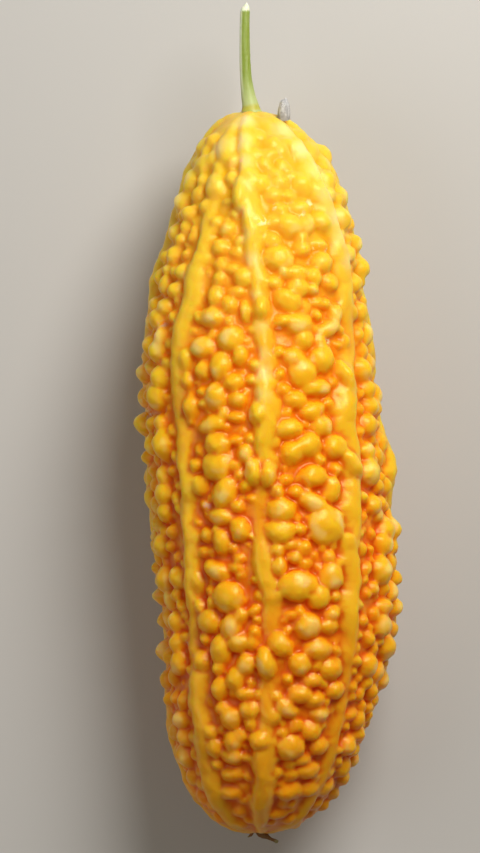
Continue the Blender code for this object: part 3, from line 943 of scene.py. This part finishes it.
TALL_RISE = 0.003  # how far up, and how deep, the relief counts in full
DEEP_CREASE = 0.0001
DEEP_FURROW = 0.0008
# Painted shade in the creases and furrows: darker and redder than the skin, golden near the stem end,
# which ripens last, and darkest towards the blossom end.
YOUNG_CREASE_SHADE_COLOR = (0.84, 0.46, 0.005)
CREASE_SHADE_COLOR = (0.86, 0.23, 0.001)
OLD_CREASE_SHADE_COLOR = (0.74, 0.075, 0.0004)
# Painted light by height: the wart feet and furrow floor deeper orange as painted shade, the wart tips
# paler yellow as painted highlight.
FOOT_SHADE_COLOR = (0.88, 0.28, 0.002)
WART_COLOR = (0.88, 0.40, 0.004)
TIP_HIGHLIGHT_COLOR = (0.88, 0.60, 0.020)
PAINTED_HIGHLIGHT_COLOR = (0.95, 0.79, 0.36)  # painted highlight: cream on the tops of warts and the crests of ridges
RIDGE_COLOR = (0.87, 0.57, 0.022)
YOUNG_COLOR = (0.89, 0.68, 0.07)  # at the stem end, which ripens last
OVERRIPE_COLOR = (0.80, 0.27, 0.003)  # at the blossom end
SCAB_COLOR = (0.80, 0.50, 0.34)
# Dried sap, pale enough to be painted glints as well.
JUICE_AND_GLINT_COLOR = (0.95, 0.86, 0.50)


def blend(factor, first, second):
    """A colour between two colours."""
    source = next(value for value in (factor, first, second) if isinstance(value, Wire))
    first, second = ((*c, 1.0) if isinstance(c, tuple) else c for c in (first, second))
    return source.node("ShaderNodeMix", {"data_type": "RGBA"}, {0: factor, 6: first, 7: second}, 2)


def attribute(tree, name):
    return Wire(tree).node("ShaderNodeAttribute", {"attribute_name": name}, None, "Fac")


def principled(made, **values):
    """Sets or links the sockets of a material's own shader, named in words."""
    shader = made.node_tree.nodes["Principled BSDF"]
    sockets = {socket.name.lower(): socket for socket in shader.inputs}
    for words, value in values.items():
        socket = sockets[words.replace("_", " ")]
        if isinstance(value, Wire):
            made.node_tree.links.new(value.socket, socket)
        else:
            socket.default_value = value


def paint_skin(made):
    """Waxy ripe skin: yellow ridges and warts with painted highlights on their tops, deep orange
    creases of painted shade, and beads of dried sap that are partly painted glints.
    """
    tree = made.node_tree
    rise = attribute(tree, "rise") / TALL_RISE
    ridge = attribute(tree, "ridge")
    crease = attribute(tree, "crease") / DEEP_CREASE
    furrow = attribute(tree, "furrow") / DEEP_FURROW
    scab = attribute(tree, "scab")
    at = Wire(tree).node("ShaderNodeTexCoord", None, None, "Object")
    share = (at.parts()[1] - (middle.y + FRUIT_LENGTH / 2)) * (-1 / FRUIT_LENGTH)
    mottle = at.noise(170.0, 3.0)
    blotch = at.noise(38.0, 2.0)
    # Painted shade low down and painted highlight on the tips, by how far the skin rises.
    color = blend(rise.between(0.0, 0.75), FOOT_SHADE_COLOR, WART_COLOR)
    color = blend((rise * 0.85 - 0.5 + mottle * 0.5).clamped(), color, TIP_HIGHLIGHT_COLOR)
    color = blend(ridge * 0.85, color, RIDGE_COLOR)
    young = (1 - share.between(0.0, 0.42)) * (0.35 + blotch * 0.6)
    color = blend(young.clamped(), color, YOUNG_COLOR)
    old = share.between(0.45, 1.0) * (0.15 + blotch * 0.7)
    color = blend(old.clamped(), color, OVERRIPE_COLOR)
    # How deep the creases and furrows sink, for the painted shade in them.
    deep = (crease.between(-0.2, 1.1) * 0.5 + furrow.between(-0.2, 1.0) * 0.6).clamped()
    # Painted highlight: cream on the tops of warts by chance, and at the listed patches on wart tops
    # and ridge crests, fading towards the blossom end.
    pale = at.noise(150.0, 1.0).between(0.50, 0.66) * rise.between(0.45, 0.95) * 0.6
    crest = rise.between(0.2, 0.7).at_least(ridge * ridge)
    crest = crest.at_least(0.75 - share.between(0.10, 0.30) * 0.75)
    pale = pale.at_least(attribute(tree, "pale") * crest)
    color = blend((pale * (1.0 - share * 0.4)).clamped() * 0.9, color, PAINTED_HIGHLIGHT_COLOR)
    # Painted shade in the creases, its hue following the ripening along the fruit.
    crease_shade_color = blend(share.between(0.08, 0.32), YOUNG_CREASE_SHADE_COLOR, CREASE_SHADE_COLOR)
    crease_shade_color = blend(share.between(0.30, 0.60), crease_shade_color, OLD_CREASE_SHADE_COLOR)
    color = blend(deep * 0.85, color, crease_shade_color)
    # Dried sap at the listed spots, its pale specks partly painted glints.
    juice_and_glint = attribute(tree, "juice_and_glint") * at.noise(750.0, 1.0).between(0.52, 0.57)
    color = blend(juice_and_glint, color, JUICE_AND_GLINT_COLOR)
    dry = scab * at.noise(1100.0, 2.0).between(0.38, 0.60)
    color = blend(dry, color, SCAB_COLOR)
    pores = at.noise(2600.0, 2.0) + at.noise(700.0, 2.0) * 1.5
    bump = {"Strength": 0.22, "Distance": 0.00012, "Height": pores + juice_and_glint * 2.0 + dry * 3.0}
    principled(
        made,
        base_color=color,
        roughness=(0.28 + mottle * 0.16 + dry * 0.3 - juice_and_glint * 0.15).clamped(),
        normal=at.node("ShaderNodeBump", None, bump),
        subsurface_weight=1.0,
        subsurface_radius=(1.0, 0.26, 0.045),
        subsurface_scale=0.0034,
        specular_ior_level=0.45,
        specular_tint=(1.0, 0.88, 0.5, 1.0),
    )


paint_skin(skin_paint)


# ---- The stem -------------------------------------------------------------------------------
# The cut green stem, a faintly ribbed stalk three millimetres thick that flares into a collar on the
# fruit. It was cut with a blade, so its end is pale, slanted and fibrous.

GAP = 0.0003  # between the pieces' solids
STEM_LENGTH = 0.0283
STEM_PATH = (  # (along it from the fruit, sideways, radius)
    (-0.0022, 0.0001, 0.0032),
    (0.0000, -0.0003, 0.0026),
    (0.0014, -0.0005, 0.0022),
    (0.0036, -0.0010, 0.0019),
    (0.0080, -0.0016, 0.00158),
    (0.0129, -0.0019, 0.00145),
    (0.0222, -0.0020, 0.00130),
    (0.0262, -0.0019, 0.00126),
    (0.0274, -0.0018, 0.00100),
    (STEM_LENGTH, -0.0017, 0.00035),
)
STEM_STEPS = 120
STEM_GREEN = (0.24, 0.32, 0.035)
STEM_EDGE = (0.72, 0.78, 0.52)
STEM_FOOT = (0.46, 0.53, 0.22)
STEM_CUT = (0.80, 0.84, 0.64)
COLLAR_COLOR = (0.46, 0.42, 0.02)


def line_through(name, places, radii):
    """A curve object through places, with a radius at each."""
    curve = bpy.data.curves.new(name, "CURVE")
    curve.dimensions = "3D"
    spline = curve.splines.new("POLY")
    spline.points.add(len(places) - 1)
    for point, place, radius in zip(spline.points, places, radii):
        point.co = (*place, 1.0)
        point.radius = radius
    return add_object(name, curve)


def stalk_line(name, path, start, direction, steps):
    """A smooth line along a path that leaves start along Y."""
    distances = [row[0] for row in path]
    length = np.linspace(distances[0], distances[-1], steps + 1)
    sideways = smooth_between(distances, [row[1] for row in path], length)
    radii = smooth_between(distances, [row[2] for row in path], length)
    places = [(start.x + x, start.y + direction * y, start.z) for x, y in zip(sideways, length)]
    return line_through(name, places, radii)


def stalk_tree():
    """Runs a ribbed profile along a curve, roughens it and slants its far end."""
    tree, entry = geometry_tree(
        "grow_stalk",
        (
            ("Sides", "NodeSocketInt"),
            ("Ribs", "NodeSocketFloat"),
            ("Rib Depth", "NodeSocketFloat"),
            ("Rough Scale", "NodeSocketFloat"),
            ("Rough By", "NodeSocketFloat"),
            ("Slant", "NodeSocketFloat"),
            ("Material", "NodeSocketMaterial"),
        ),
    )
    start = entry["Geometry"]
    along = start.node("GeometryNodeSplineParameter")
    line = store(tree, start, "along", along)
    ring = start.node("GeometryNodeCurvePrimitiveCircle", None, {"Resolution": entry["Sides"]})
    around = start.node("GeometryNodeSplineParameter") * math.tau
    ring = store(tree, ring, "around", around)
    at = start.node("GeometryNodeInputPosition")
    rib = 1 + entry["Rib Depth"] * (around * entry["Ribs"]).cosine()
    ribbed = {"Geometry": ring, "Position": at.scaled(rib)}
    ring = start.node("GeometryNodeSetPosition", None, ribbed)
    tube = start.node(
        "GeometryNodeCurveToMesh",
        None,
        {
            "Curve": line,
            "Profile Curve": ring,
            "Scale": start.node("GeometryNodeInputRadius"),
            "Fill Caps": True,
        },
    )
    push = (at.noise(entry["Rough Scale"]) - 0.5) * entry["Rough By"] * 2.0
    turned = named(tree, "around").cosine()
    slant = named(tree, "along").between(0.9, 1.0) * turned * entry["Slant"]
    normal = start.node("GeometryNodeInputNormal")
    offset = normal.scaled(push).vectors("ADD", start.joined(0.0, slant, 0.0))
    rough = start.node("GeometryNodeSetPosition", None, {"Geometry": tube, "Offset": offset})
    solid = start.node("GeometryNodeRealizeInstances", None, {"Geometry": rough})
    painted = {"Geometry": solid, "Material": entry["Material"]}
    close_tree(tree, start.node("GeometryNodeSetMaterial", None, painted))
    return tree


stalks = stalk_tree()


def grow(name, line, settings):
    """A plain mesh object grown along a line, which is then removed."""
    run_tree(line, stalks, settings)
    mesh = evaluated(line, name)
    bpy.data.objects.remove(line)
    mesh.shade_smooth()
    return add_object(name, mesh)


stem_paint = new_paint("green_stem")
stem_foot = middle + Vector((float(spine_shift(0.0)), FRUIT_LENGTH / 2 + GAP, 0.0))
stem = grow(
    "cut_stem",
    stalk_line("stem_line", STEM_PATH, stem_foot, 1, STEM_STEPS),
    {
        "Sides": 48,
        "Ribs": 5.0,
        "Rib Depth": 0.02,
        "Rough Scale": 900.0,
        "Rough By": 0.00008,
        "Slant": 0.0004,
        "Material": stem_paint,
    },
)
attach(stem, "root")
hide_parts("stem")


def paint_stem(made):
    """Green with one pale edge, yellow-green at the collar, nearly white where it was cut."""
    tree = made.node_tree
    along = attribute(tree, "along")
    at = Wire(tree).node("ShaderNodeTexCoord", None, None, "Object")
    fibre = at.node("ShaderNodeMapping", None, {0: at, "Scale": (1.0, 0.06, 1.0)}).noise(3200.0, 3.0)
    edge = attribute(tree, "around").cosine() * -1.0
    color = blend(edge.between(0.45, 0.75), STEM_GREEN, STEM_EDGE)
    color = blend((fibre - 0.45).clamped() * 0.6, color, STEM_EDGE)
    color = blend(1 - along.between(0.12, 0.42), color, STEM_FOOT)
    collar = along.between(0.055, 0.085) * (1 - along.between(0.10, 0.14))
    color = blend(collar * 0.8, color, COLLAR_COLOR)
    ragged = along + (fibre - 0.5) * 0.03
    color = blend(ragged.between(0.925, 0.95), color, STEM_CUT)
    bump = {"Strength": 0.35, "Distance": 0.0001, "Height": fibre + at.noise(1500.0)}
    principled(
        made,
        base_color=color,
        roughness=0.42 + fibre * 0.2,
        normal=at.node("ShaderNodeBump", None, bump),
        subsurface_weight=0.3,
        subsurface_radius=(0.6, 1.0, 0.2),
        subsurface_scale=0.0012,
    )


paint_stem(stem_paint)


# ---- The grey stub --------------------------------------------------------------------------
# A dried, hard little stump, grey and weathered, that stands beside the stem. It is blunt, and
# wrinkled lengthways as it dried.

STUB_RADIUS = 0.0016
STUB_HEIGHT = 0.0049
STUB_LEAN = Vector((0.05, 1.0, 0.35)).normalized()
STUB_SUNK = 0.0005  # how much lower than its solid it stands
STUB_STEPS = 40
STUB_PATH = (  # (share of its height, share of its radius)
    (-0.15, 1.05),
    (0.00, 1.05),
    (0.20, 1.02),
    (0.45, 0.94),
    (0.70, 0.78),
    (0.88, 0.56),
    (0.97, 0.34),
    (1.00, 0.10),
)
STUB_GREY = (0.40, 0.40, 0.41)
STUB_PALE = (0.64, 0.64, 0.65)
STUB_DARK = (0.26, 0.25, 0.25)

stub_low, stub_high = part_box("grey_stub")
stub_middle = (stub_low + stub_high) / 2
stub_foot = stub_middle - STUB_LEAN * STUB_HEIGHT / 2 - Vector((0, 0, STUB_SUNK))


def stub_line():
    """The stub's axis, which rises from its foot and leans as the stub leans."""
    heights = [row[0] for row in STUB_PATH]
    height = np.linspace(heights[0], heights[-1], STUB_STEPS + 1)
    thick = smooth_between(heights, [row[1] for row in STUB_PATH], height)
    places = [stub_foot + STUB_LEAN * STUB_HEIGHT * float(up) for up in height]
    return line_through("stub_line", places, STUB_RADIUS * thick)


stub_paint = new_paint("grey_stub")
stub = grow(
    "dried_stub",
    stub_line(),
    {
        "Sides": 40,
        "Ribs": 6.0,
        "Rib Depth": 0.03,
        "Rough Scale": 1100.0,
        "Rough By": 0.00014,
        "Slant": 0.0003,
        "Material": stub_paint,
    },
)
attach(stub, "root")
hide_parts("grey_stub")


def paint_stub(made):
    """Dried grey, with pale streaks lengthways and dark grains and foot."""
    tree = made.node_tree
    at = Wire(tree).node("ShaderNodeTexCoord", None, None, "Object")
    streak = at.node("ShaderNodeMapping", None, {0: at, "Scale": (1.0, 0.25, 1.0)}).noise(1500.0, 3.0)
    grain = at.noise(2400.0, 3.0)
    color = blend(streak.between(0.40, 0.62), STUB_GREY, STUB_PALE)
    color = blend(grain.between(0.56, 0.70) * 0.7, color, STUB_DARK)
    color = blend((1 - attribute(tree, "along").between(0.15, 0.35)) * 0.6, color, STUB_DARK)
    bump = {"Strength": 0.4, "Distance": 0.00012, "Height": streak + grain * 0.6}
    principled(
        made,
        base_color=color,
        roughness=0.62 + grain * 0.2,
        normal=at.node("ShaderNodeBump", None, bump),
    )


paint_stub(stub_paint)


# ---- The blossom remnant --------------------------------------------------------------------
# What is left of the blossom: a shrivelled brown thread that curls to one side, with a few
# shorter shreds round its foot.

REMNANT_PATHS = (  # each (along it from the fruit, sideways, radius)
    (
        (-0.0015, 0.0002, 0.0016),
        (0.0000, 0.0006, 0.0012),
        (0.0006, 0.0013, 0.0008),
        (0.0012, 0.0024, 0.0005),
        (0.0017, 0.0034, 0.0004),
        (0.0021, 0.0042, 0.0005),
        (0.0023, 0.0048, 0.0003),
    ),
    ((-0.001, 0.0016, 0.0005), (0.0006, 0.0019, 0.0004), (0.0016, 0.0026, 0.00012)),
    ((-0.001, -0.0018, 0.0006), (0.0005, -0.0024, 0.0004), (0.0011, -0.0032, 0.00012)),
)
REMNANT_STEPS = 24
REMNANT_BROWN = (0.20, 0.085, 0.022)
REMNANT_PALE = (0.30, 0.26, 0.11)

remnant_paint = new_paint("dried_blossom")
blossom_foot = middle + Vector((float(spine_shift(1.0)), -FRUIT_LENGTH / 2 - GAP, 0.0))


def paint_remnant(made):
    """Dried brown that pales towards the tip."""
    tree = made.node_tree
    along = attribute(tree, "along")
    at = Wire(tree).node("ShaderNodeTexCoord", None, None, "Object")
    grain = at.noise(1900.0, 3.0)
    color = blend((along.between(0.7, 1.0) + grain - 0.5).clamped(), REMNANT_BROWN, REMNANT_PALE)
    bump = {"Strength": 0.6, "Distance": 0.0002, "Height": grain}
    principled(
        made,
        base_color=color,
        roughness=0.7 + grain * 0.2,
        normal=at.node("ShaderNodeBump", None, bump),
    )


paint_remnant(remnant_paint)
for number, path in enumerate(REMNANT_PATHS):
    shred = grow(
        f"dried_blossom_{number}",
        stalk_line("shred_line", path, blossom_foot, -1, REMNANT_STEPS),
        {
            "Sides": 20,
            "Ribs": 3.0,
            "Rib Depth": 0.22,
            "Rough Scale": 1300.0,
            "Rough By": 0.00022,
            "Slant": 0.0,
            "Material": remnant_paint,
        },
    )
    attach(shred, "root")
    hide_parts("blossom_remnant")


# ---- The table ------------------------------------------------------------------------------
# A plain pale table under the gourd. It isn't part of the object.

TABLE_SIDE = 6.0
TABLE_COLOR = (0.52, 0.51, 0.50, 1.0)

table_mesh = mesh_from(
    "table",
    [(x * TABLE_SIDE / 2, y * TABLE_SIDE / 2, 0.0) for x, y in ((-1, -1), (1, -1), (1, 1), (-1, 1))],
    [(0, 1, 2, 3)],
)
table = add_object("table", table_mesh)
table_paint = new_paint("pale_table")
principled(table_paint, base_color=TABLE_COLOR, roughness=0.6)
table_mesh.materials.append(table_paint)


# ---- Light ----------------------------------------------------------------------------------
# Soft studio light: a large key light from the upper right, a weak fill and a dim warm room.

ROOM_COLOR = (0.97, 0.87, 0.66, 1.0)
ROOM_STRENGTH = 0.15


def soft_light(name, place, aim, size, power, color):
    lamp = bpy.data.lights.new(name, "AREA")
    lamp.shape = "DISK"
    lamp.size = size
    lamp.energy = power
    lamp.color = color
    obj = add_object(name, lamp)
    obj.location = place
    obj.rotation_euler = (Vector(aim) - Vector(place)).to_track_quat("-Z", "Y").to_euler()


soft_light(
    "key", place=(0.20, 0.38, 0.50), aim=(0, 0.03, 0.03), size=0.36, power=4.6, color=(1.0, 0.97, 0.91)
)
soft_light(
    "fill", place=(-0.6, -0.1, 0.6), aim=(0, 0, 0.03), size=0.6, power=1.2, color=(1.0, 0.99, 0.97)
)

world = bpy.data.worlds.new("warm_room")
world.use_nodes = True
room = world.node_tree.nodes["Background"].inputs
room["Color"].default_value = ROOM_COLOR
room["Strength"].default_value = ROOM_STRENGTH
bpy.context.scene.world = world
bpy.context.scene.view_settings.view_transform = "Standard"


# ---- Camera ---------------------------------------------------------------------------------
# Looks straight down with a long lens, the stem at the top.

VIEW_HEIGHT = 0.2251  # metres seen from top to bottom, at the level of the fruit's middle
CAMERA_DISTANCE = 2.0
VIEW_SHIFT = (-0.0069, 0.0120)  # of what the camera aims at, from the middle of the fruit

lens = bpy.data.cameras.new("camera")
lens.sensor_width = 36.0
lens.lens = lens.sensor_width * CAMERA_DISTANCE / VIEW_HEIGHT
camera = add_object("camera", lens)
camera.location = middle + Vector((*VIEW_SHIFT, CAMERA_DISTANCE))
bpy.context.scene.camera = camera
